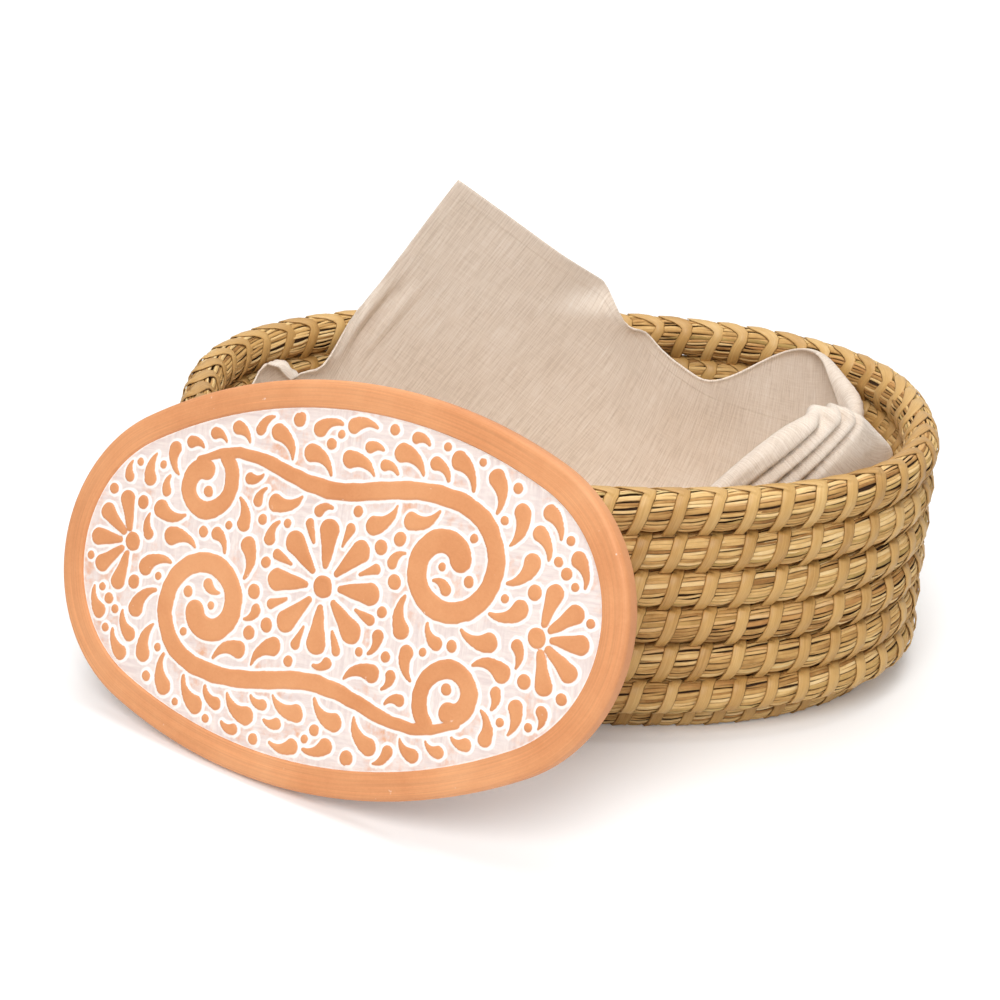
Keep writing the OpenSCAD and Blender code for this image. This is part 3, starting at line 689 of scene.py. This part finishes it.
def tileFrame():
    # the tile stands on its lowest edge and leans on the rim
    yaw, tilt, roll, strip = np.radians([tile["yaw"], tile["tilt"], tile["roll"], basket["stripLean"]])
    e, thick = tile["edgeR"], tile["thick"]
    bulge = bundleW / 2 + stripT + ((rimH / np.cos(strip) - bundleW) / 2 + stripT) * np.sin(tilt)
    off = leanReach.max() * np.cos(tilt) + rimZ * np.sin(tilt) + bulge + tile["gap"] + thick
    low = np.cos(tilt) * (tileSideR - e - tileSideY * np.cos(roll)) + (thick - e) * np.sin(tilt) + e
    up = (low - np.sin(tilt) * off) / np.cos(tilt)
    face = np.array([*leanWay * np.cos(tilt), np.sin(tilt)])
    level = np.array([np.cos(yaw), -np.sin(yaw), 0])
    steep = np.array([*-leanWay * np.sin(tilt), np.cos(tilt)])
    tx, ty = level * np.cos(roll) + steep * np.sin(roll), steep * np.cos(roll) - level * np.sin(roll)
    return tx, ty, face, face * off + level * tile["shift"] + steep * up


tileX, tileY, tileN, tileMid = tileFrame()


def onTile(x, y, z):
    return tileMid + x[..., None] * tileX + y[..., None] * tileY + z[..., None] * tileN


def firedClay(m, spot, fine):
    # cloudy fired colour with a few small white chips
    chips = m.math("MULTIPLY", m.level(m.noise(spot, *clay["chips"]), *clay["chipLevel"]), clay["chipShare"])
    level = m.vary(m.noise(spot, *clay["cloudy"]), fine, clay["fineSpan"])
    return m.mix(chips, m.ramp(level, clay["colours"]), linear(clay["chip"]))


def clayMaterial():
    # the border shows faint streaks round the oval, where it was smoothed by hand
    m = nodeTree("terracotta")
    spot = m.spot()
    fine = m.noise(spot, *clay["fine"])
    split = m.add("SeparateXYZ", {0: spot}).outputs
    along = {k: m.math("MULTIPLY", split[2 * k], clay["ringScale"]) for k in (0, 1)}
    ringed = m.add("CombineXYZ", {**along, 2: m.value("inset")}).outputs[0]
    shade = m.line(m.noise(ringed, *clay["rings"]), *clay["ringShade"])
    return m.finish(clay, m.mix(1.0, firedClay(m, spot, fine), shade, "MULTIPLY"), fine)


def carvedMaterial():
    m = nodeTree("slipAndClay")
    spot, edge, uv = m.spot(), m.value("edge"), m.flat()
    fine, streak = m.noise(spot, *clay["fine"]), m.noise(spot, *slip["streak"])
    # brush marks run one way or the other, in patches
    oneWay, otherWay = (m.noise(uv, *slip["brush"], way) for way in slip["brushWays"])
    patches = m.level(m.noise(uv, *slip["patches"]), *slip["patchLevel"])
    brush = m.level(m.mix(patches, oneWay, otherWay), *slip["brushLevel"])
    colour = m.mix(brush, linear(slip["brushed"]), linear(slip["colour"]))
    # slip is rubbed thin in patches away from the motifs, and left thick and white along them
    worn = m.level(m.noise(spot, *slip["worn"]), *slip["wornLevel"])
    worn = m.math("MULTIPLY", worn, m.level(edge, *slip["wornAway"]))
    worn = m.math("MULTIPLY", worn, m.level(streak, *slip["wornStreaks"]))
    colour = m.mix(worn, colour, linear(slip["rubbed"]))
    thick = m.level(m.vary(edge, streak, slip["thickSpan"]), *slip["thickLevel"])
    colour = m.mix(thick, colour, linear(slip["outline"]))
    ground = m.level(m.vary(edge, streak, slip["groundSpan"]), *slip["groundLevel"])
    return m.finish(slip, m.mix(ground, firedClay(m, spot, fine), colour), m.math("ADD", fine, streak))


# ---- the ornament, as strokes with a half width at each of their points

def spiral(middle, r, a, w, steps):
    # a stroke whose radius and half width change evenly with the angle
    u = np.linspace(0, 1, steps + 1)[:, None]
    return np.concatenate([np.array(middle) + within(r, u) * unit(within(a, u)[:, 0]), within(w, u)], 1)


def curve(p, w, steps):
    # a cubic stroke through four control points
    p, u = np.array(p, dtype=float), np.linspace(0, 1, steps + 1)[:, None]
    spot = (1 - u) ** 3 * p[0] + 3 * (1 - u) ** 2 * u * p[1] + 3 * (1 - u) * u**2 * p[2] + u**3 * p[3]
    return np.concatenate([spot, within(w, u)], 1)


def teardrop(middle, angle, reach, w):
    return np.array([[*(middle + reach[k] * unit(angle)), w[k]] for k in (0, 1)])


def hook(spot, angle, size, bend, width):
    # a curled leaf from its tip to its round head
    u = np.linspace(0, 1, 7)
    way = np.cumsum(unit(angle + bend * (u - 0.35)) * (u > 0)[:, None] * size / 6, 0)
    return np.concatenate([spot + way, within((0.7, width), u)[:, None]], 1)


def bead(x, y, r):
    return np.array([[x, y, r], [x + 0.01, y, r]])


def turned(strokes):
    return strokes + [s * (-1, -1, 1) for s in strokes]


def rodsOf(strokes):
    return np.concatenate([np.concatenate([s[:-1], s[1:]], 1) for s in strokes])


def rodDistance(x, y, rods):
    # least distance to the edge of any tapered rod, below 0 inside, worked out for a share of the rods at a time
    best = np.full(np.shape(x), 99.0)
    for share in np.array_split(rods, 1 + best.size * len(rods) // carving["batch"]):
        x0, y0, r0, x1, y1, r1 = share.T
        dx, dy, px, py = x1 - x0, y1 - y0, x[..., None] - x0, y[..., None] - y0
        u = np.clip((px * dx + py * dy) / (dx * dx + dy * dy), 0, 1)
        best = np.minimum(best, (np.hypot(px - u * dx, py - u * dy) - r0 - u * (r1 - r0)).min(-1))
    return best


def mainStrokes():
    # the strokes that the CAD source has too: a rosette, a vine with a scroll, a small scroll and a palmette
    v, mid = carving["vine"] / 2, np.zeros(2)
    strokes = [bead(0, 0, 4.6)]
    strokes += [teardrop(mid, a, (8, carving["rosette"] - 4.6), (1.5, 4.6)) for a in (0.0, 45.0, 90.0, 135.0)]
    strokes += [teardrop(mid, a, (17.5, carving["rosette"] - 1), (0.8, 2.2)) for a in (22.5, 67.5, 112.5, 157.5)]
    scroll = spiral((54, 14.5), (6.2, 24), (-330, 82), (v + 1.2, v), 30)
    vine = np.concatenate([scroll, curve([scroll[-1, :2], (28, 46), (12, 32), (-12, 38)], (v, v - 0.2), 8)[1:],
                           curve([(-12, 38), (-32, 43), (-44, 52), (-66, 42)], (v - 0.2, 1.6), 6)[1:]])
    small = spiral((62, -33), (14.5, 5.2), (230, -90), (3.2, 4.2), 20)
    strokes += [vine, small, bead(95, -6, 3.9)]
    strokes += [teardrop(np.array([96, -6]), float(a), (5.5, 17), (1.6, 3.7)) for a in range(-76, 77, 38)]
    return strokes, (vine, small)


def leafSpots(stroke, side):
    # even places along one side of a stroke, and the stroke's heading there
    run = runOf(stroke[:, :2])
    s = np.arange(4.0, run[-1] - 2, carving["leafStep"])
    spot, ahead = (np.stack([np.interp(s + d, run, stroke[:, k]) for k in range(3)], 1) for d in (0, 1))
    way = np.degrees(np.arctan2(ahead[:, 1] - spot[:, 1], ahead[:, 0] - spot[:, 0]))
    return spot[:, :2] + side * unit(way + 90) * (spot[:, 2:] + carving["leafGap"] + 0.7), way


def ornamentStrokes():
    # leaves grow from the vine and the scrolls, then leaves and beads fill what is left, the largest first
    strokes, rows = mainStrokes()
    size, width = carving["leaf"]
    x, y = np.meshgrid(*(np.arange(-reach, reach + 1, carving["fillStep"]) for reach in (120, 66)))
    free = np.minimum(rodDistance(x, y, rodsOf(turned(strokes))), ovalDistance(x, y) - tile["rimWidth"]) > 2
    x, y = x[free], y[free]
    leaves = []
    for stroke in rows:
        for side in (1, -1):
            spots, way = leafSpots(stroke, side)
            leaves += [(p, a + side * carving["leafLean"], -side * carving["leafBend"]) for p, a in zip(spots, way)]
    fill = [((px, py), a + 90, carving["fillBend"]) for px, py, a in zip(x, y, np.degrees(np.arctan2(y, x)))]
    tries = [hook(p, a, size * k, bend, width * (0.3 + 0.7 * k)) for shares, spots in
             ((carving["leafShares"], leaves), (carving["fillShares"], fill)) for k in shares for p, a, bend in spots]
    tries += [bead(px, py, r) for r in carving["beads"] for px, py in zip(x, y)]
    rods, room = rodsOf(turned(strokes)), carving["space"]
    for shape in tries:
        px, py, w = shape.T
        other = np.hypot(px[:, None] + px, py[:, None] + py) - w[:, None] - w
        toRim = ovalDistance(px, py) - tile["rimWidth"] - carving["fromRim"] - w
        if toRim.min() > 0 and other.min() > room and (rodDistance(px, py, rods) - w).min() > room:
            strokes.append(shape)
            rods = np.concatenate([rods, rodsOf(turned([shape]))])
    return turned(strokes)


def addTileBody():
    e, rim, thick, ground, columns = (tile[k] for k in ("edgeR", "rimWidth", "thick", "ground", "columns"))
    quarter = unit(np.arange(0, 91, 15))
    # inset and height of the profile, from the middle of the face out over the edge and in over the back
    profile = [(rim + 1.3, ground), (rim + 0.75, -1.7), (rim + 0.35, -1.2), (rim + 0.2, -0.5), (rim, -0.12)]
    profile += [(rim - 0.4, 0), (rim - 3, 0), (rim - 6, 0)] + [(e - e * s, e * c - e) for c, s in quarter]
    profile += [(e - e * c, e - thick - e * s) for c, s in quarter] + [(rim, -thick), (30, -thick)]
    inset, z = np.array(profile).T
    mid, r, a = ovalPoints(columns)
    xy = mid + (r[:, None] - inset[:, None, None]) * unit(np.degrees(a))
    points = onTile(xy[..., 0], xy[..., 1], z[:, None]).reshape(-1, 3)
    poles = onTile(np.zeros(2), np.zeros(2), np.array([ground, -thick]))
    ring, size = np.arange(columns), len(points)
    fans = np.concatenate([fanFaces(size, ring), fanFaces(size + 1, (ring + size - columns)[::-1])])
    faces = [gridFaces(len(z), columns, closedColumns=True), fans]
    body = addMesh("tileBody", np.concatenate([points, poles]), faces, clayMaterial(),
                   values={"inset": np.append(np.repeat(inset, columns), (rim, rim))})
    place(body, "tile", "terracotta", "warming_tile")


def addCarvedFace():
    rim, step, carve = tile["rimWidth"], tile["gridStep"], tile["carve"]
    nx, ny = (int((tile[k] / 2 - rim) / step) + 2 for k in ("length", "width"))
    x, y = np.meshgrid(np.arange(1 - nx, nx) * step, np.arange(1 - ny, ny) * step, indexing="ij")
    # the edge is the distance from the nearest stroke, a little uneven, and kept clear along the border
    edge = rodDistance(x, y, rodsOf(ornamentStrokes()))
    edge = edge + 0.22 * np.sin(x * 0.31 + 1.7 * np.sin(y * 0.23)) * np.sin(y * 0.37 + 1.3 * np.sin(x * 0.19))
    inside = ovalDistance(x, y) - rim
    edge = np.where(inside < 2.2, np.maximum(edge, 0.8), edge)
    edge = np.minimum(edge, 0.45 + 0.9 * np.maximum(0, inside))
    height = -carve + (carve - 0.12) * ease((0.35 - edge) / 0.9)
    height = height + 0.09 * np.sin(x * 1.3 + 2 * np.sin(y * 0.9)) * np.sin(y * 1.1) * ease(edge - 0.5)
    keep = inside > -0.3
    used = keep[:-1, :-1] & keep[1:, :-1] & keep[:-1, 1:] & keep[1:, 1:]
    wanted, corners = np.unique(gridFaces(*x.shape)[used.ravel()], return_inverse=True)
    points = onTile(x, y, height).reshape(-1, 3)[wanted]
    face = addMesh("carvedFace", points, [corners.reshape(-1, 4)], carvedMaterial(), uv=uvPairs(x, y)[wanted],
                   values={"edge": edge.ravel()[wanted]})
    place(face, "tile", "white_slip", "slip_coat")


# ---- liner cloth

cloth = {
    "length": 410.0, "width": 320.0, "back": 170.0, "thick": 1.2, "shown": 0.9, "turn": 14.5, "gap": 0.4,
    "bend": 14.0, "foldR": 4.0, "foldDrop": 22.0, "pleat": 9.0, "pleats": 12, "leanRoom": 8, "columns": 340,
    "stations": 140, "baseShare": 0.2, "firstColumn": 117.75,
    # middles are angles round the basket, and halves how far a form reaches to each side
    "standMiddle": 109.0, "standHalf": 31.0, "standFade": 16.0, "standTurn": 4.5,
    "flapMiddle": 160.0, "flapHalf": 8, "flapFade": 4, "side": (30, 24),
    # how much each form adds, its middle and its half: the front, the back and the side, and the left and the side
    "foldForms": [(46.0, 324.5, 33.0), (19.0, 68, 24), (22.0, 30, 22)], "foldFlap": 10.0,
    "spareForms": [(26.0, 152, 13), (34.0, 30, 24)], "spareFlap": 34.0,
    "fan": (324.5, 40), "fanCalm": (324.5, 34), "fanStart": (304.5, 100.0),
    "fanRate": 2.2, "fanSlope": 43, "fanBand": 6.6, "fanBands": 3, "fanDepth": 5.0, "fanCrowd": 2.4,
    "facet": 0.3, "facetReach": 34, "roll": 4.2, "rollSpan": 12, "rollFade": 15, "wave": 1.2, "hem": 6.5,
}
linen = {
    "colours": [(0.15, (215, 197, 179)), (0.5, (235, 219, 202)), (0.85, (246, 234, 221))], "weave": 0.75,
    "weaveShade": 0.12, "weaveRelief": 0.35, "slubs": (1.0, 3, 0.7), "slubLevel": (1.2, -0.6),
    "slubWays": (((60, 1300, 1), 1.3), ((1300, 60, 1), 0.5)), "cloudy": (30, 3, 0.6), "cloudSpan": 0.5,
    "hemEdge": 3.0, "sheen": 0.15, "roughness": 0.92, "gloss": 0.2, "relief": 0.55, "reliefDepth": 0.4,
}
clothZ = baseZ + bundleH / 2 + stripT + cloth["gap"] + cloth["thick"] / 2
clothInset = bundleW / 2 + stripT + cloth["gap"] + cloth["thick"] / 2
bendRun = cloth["bend"] * np.pi / 2
standDir = unit(90 + cloth["standTurn"])
standSide = np.array([standDir[1], -standDir[0]])
# the ways out to the sheet's four edges, and how far each is from the middle of the base
edgeWays = unit(45 + cloth["turn"] + 90 * np.arange(4))
edgeReach = [cloth["back"], cloth["back"], cloth["width"] - cloth["back"], cloth["length"] - cloth["back"]]


def away(a, middle):
    return np.abs((a - middle + 540) % 360 - 180)


def bump(a, middle, half):
    return ease(1 - away(a, middle) / half)


def flap(a):
    # a small flap of the cloth lies on the wall at the left back
    return ease((cloth["flapHalf"] - away(a, cloth["flapMiddle"])) / cloth["flapFade"])


def forms(a, name):
    return cloth[name + "Flap"] * flap(a) + sum(rise * bump(a, *form) for rise, *form in cloth[name + "Forms"])


def stand(a):
    return 1 - ease((away(a, cloth["standMiddle"]) - cloth["standHalf"]) / cloth["standFade"])


def rowOut(a):
    d = rowSpot(a + 1) - rowSpot(a - 1)
    return normed(np.stack([d[..., 1], -d[..., 0]], -1))


leanAt = leanAngles[leanReach.argmax()]
backAngles = np.arange(85, 140.1, 2.5)
standLine = np.min((rowSpot(backAngles) - rowOut(backAngles) * clothInset) @ standDir) - cloth["bend"]


def floorEdge(a):
    # where the bend up the wall starts, on a straight line where the cloth stands up
    p = rowSpot(a) - rowOut(a) * (clothInset + cloth["leanRoom"] * bump(a, leanAt, 40) + cloth["bend"])[..., None]
    return p - standDir * np.maximum(0, p @ standDir - standLine)[..., None]


def clothOut(a):
    share = stand(a)[..., None]
    return normed(share * standDir + (1 - share) * rowOut(a))


def spare(a):
    # the cloth's length past the edge of the base, out to the nearest of its four edges
    out, edge = clothOut(a), floorEdge(a)
    best = np.full(a.shape, cloth["length"])
    for way, reach in zip(edgeWays, edgeReach):
        slope = out @ way
        best = np.where(slope > 0.1, np.minimum(best, (reach - edge @ way) / np.maximum(slope, 0.1)), best)
    return np.maximum(bendRun + 9, forms(a, "spare") + best)


def wallRun(a):
    # up to the fold, or to just under the cloth's end
    foldZ = rimTop - cloth["foldDrop"] + forms(a, "fold")
    return np.minimum(foldZ - cloth["foldR"] - clothZ - cloth["bend"], spare(a) - bendRun - 3)


def fanIn(a, z):
    # the right front corner's parallel pleats climb to the right, with narrow valleys between them
    a0, z0 = cloth["fanStart"]
    c, s = unit(cloth["fanSlope"])
    across = ((a - a0) * cloth["fanRate"] * s - (z - z0) * c) / cloth["fanBand"]
    valley = (0.5 + 0.5 * np.cos(2 * np.pi * across)) ** 1.6
    inside = ease(across / 0.6) * ease((cloth["fanBands"] + 0.5 - across) / 0.6)
    return cloth["fanDepth"] * valley * inside * ease((z - 84) / 12) * bump(a, *cloth["fan"])


def creases(a, spot, flat):
    # how far the standing sheet leans back: a facet on its right, a rolled left edge and slow waves
    h, z = spot[..., :2] @ standSide, spot[..., 2]
    beyond = h + 2 - 0.22 * (z - 106)
    facet = cloth["facet"] * np.minimum(0.5 * (np.sqrt(beyond**2 + 20) + beyond), cloth["facetReach"])
    e = edgeReach[1] - flat @ edgeWays[1]
    roll = cloth["roll"] * np.cos(2 * np.pi * (e - 3) / cloth["rollSpan"]) * np.exp(-((e / cloth["rollFade"]) ** 2))
    roll = roll * ease((134 - z) / 26) * ease((150 - a) / 10)
    slow = cloth["wave"] * np.sin(h / 15 + 1.0 + 0.02 * z) * np.cos(z / 26 + 0.6)
    shift = (facet - roll + slow) * ease((z - 84) / 22) * stand(a)
    # it leans back only above the rim
    return np.minimum(shift, 0) + np.maximum(shift, 0) * ease((z - rimTop - 3) / 14)


def clothPoint(a, s):
    # out along the base, round the bend, up the wall, and over the turned-in fold, except where the cloth stands up
    edge, out, folded, foldR = floorEdge(a), clothOut(a), 1 - stand(a), cloth["foldR"]
    floorRun = np.linalg.norm(edge, axis=-1)
    d = np.maximum(0, s - floorRun)
    bend = np.minimum(np.pi / 2, d / cloth["bend"])
    onWall = np.maximum(0, d - bendRun)
    up = np.minimum(onWall, wallRun(a))
    over = onWall - up
    turn = np.minimum(np.pi, over / foldR)
    spareHang = np.maximum(0, over - np.pi * foldR)
    hang = np.minimum(spareHang, cloth["bend"] + wallRun(a) - cloth["thick"] - cloth["gap"])
    start = clothZ + cloth["bend"] * (1 - np.cos(bend)) + up
    # soft pleats all round, except where a form of its own stands
    way = np.degrees(np.arctan2(out[..., 1], out[..., 0]))
    calm = 1 - np.maximum(bump(a, *cloth["fanCalm"]), np.maximum(bump(a, *cloth["side"]), flap(a)))
    pleatIn = (1 - np.cos(np.radians((way - 90) * cloth["pleats"]))) / 2
    pleatIn = calm * cloth["pleat"] * ease(up / 60) * pleatIn + fanIn(a, start)
    foldIn = foldR * (1 - np.cos(turn)) + folded * pleatIn + hang * 0.12 + spareHang - hang
    reach = cloth["bend"] * np.sin(bend) - foldIn * folded
    flat = edge * np.minimum(1, s / floorRun)[..., None] + out * reach[..., None]
    z = start + (foldR * np.sin(turn) - hang) * folded + over * (1 - folded)
    return np.concatenate([flat, z[..., None]], -1)


def linenMaterial():
    m = nodeTree("linen")
    uv = m.flat()
    split = m.add("SeparateXYZ", {0: uv}).outputs
    threads = 2 * np.pi / (linen["weave"] * mm)
    weave = m.math("MULTIPLY", *(m.math("SINE", m.math("MULTIPLY", split[k], threads)) for k in (0, 1)))
    # slubs show mostly along one set of threads
    slubs = [m.math("MULTIPLY", m.noise(uv, *linen["slubs"], way), share) for way, share in linen["slubWays"]]
    slubs = m.math("ADD", *slubs)
    level = m.vary(m.line(slubs, *linen["slubLevel"]), m.noise(uv, *linen["cloudy"]), linen["cloudSpan"])
    level = m.math("ADD", level, m.math("MULTIPLY", weave, linen["weaveShade"]), clamp=True)
    relief = m.math("ADD", m.math("MULTIPLY", weave, linen["weaveRelief"]), slubs)
    turnedHem = m.level(m.value("hem"), -linen["hemEdge"], linen["hemEdge"] * cloth["hem"])
    relief = m.math("ADD", relief, turnedHem)
    return m.finish(linen, m.ramp(level, linen["colours"]), relief, **{"Sheen Weight": linen["sheen"]})


def addCloth():
    # columns start at the standing corner, and crowd where the right front's pleats are
    turn = cloth["firstColumn"] + np.linspace(0, 360, 1441)
    stops = np.cumsum(1 + cloth["fanCrowd"] * bump(turn, *cloth["fan"])) - 1
    columns, stations, near = cloth["columns"], cloth["stations"], cloth["baseShare"]
    a = np.interp(np.arange(columns) / columns * stops[-1], stops, turn)
    edge, out = floorEdge(a), clothOut(a)
    run = np.linalg.norm(edge, axis=-1)
    # stations crowd towards the wall, where the folds are
    share = np.arange(1, stations + 1)[:, None] / stations
    s = np.where(share < near, run * share / near, run + spare(a) * (share - near) / (1 - near))
    angles = np.broadcast_to(a, s.shape)
    points = clothPoint(angles, s)
    flat = edge * np.minimum(1, s / run)[..., None] + out * np.maximum(0, s - run)[..., None]
    points[..., :2] += creases(angles % 360, points, flat)[..., None] * standDir
    toEdge = np.min([reach - flat @ way for reach, way in zip(edgeReach, edgeWays)], axis=0)
    uv = uvPairs(flat @ edgeWays[0], flat @ edgeWays[1])
    points = np.concatenate([points.reshape(-1, 3), [[0, 0, clothZ]]])
    faces = [gridFaces(stations, columns, closedColumns=True), fanFaces(len(points) - 1, np.arange(columns))]
    piece = addMesh("linerCloth", points, faces, linenMaterial(), uv=np.concatenate([uv, [[0, 0]]]),
                    values={"hem": np.append(toEdge, 99)})
    solid = piece.modifiers.new("thickness", "SOLIDIFY")
    solid.thickness, solid.offset = cloth["shown"] * mm, 0
    place(piece, "cloth", "linen", "linen_base", "linen_back", "linen_left", "linen_front", "linen_right_front",
          "linen_right_back")


addCamera()
addFloor()
addLight()
print("stage done")
grassLook, palmLook = grassMaterial(), palmMaterial()
addBase(grassLook, palmLook)
print("base done")
addRows(grassLook, palmLook)
addTail(grassLook, palmLook)
print("rows done")
addTileBody()
addCarvedFace()
print("tile done")
addCloth()
print("cloth done")

bpy.context.scene.view_settings.view_transform = "Standard"
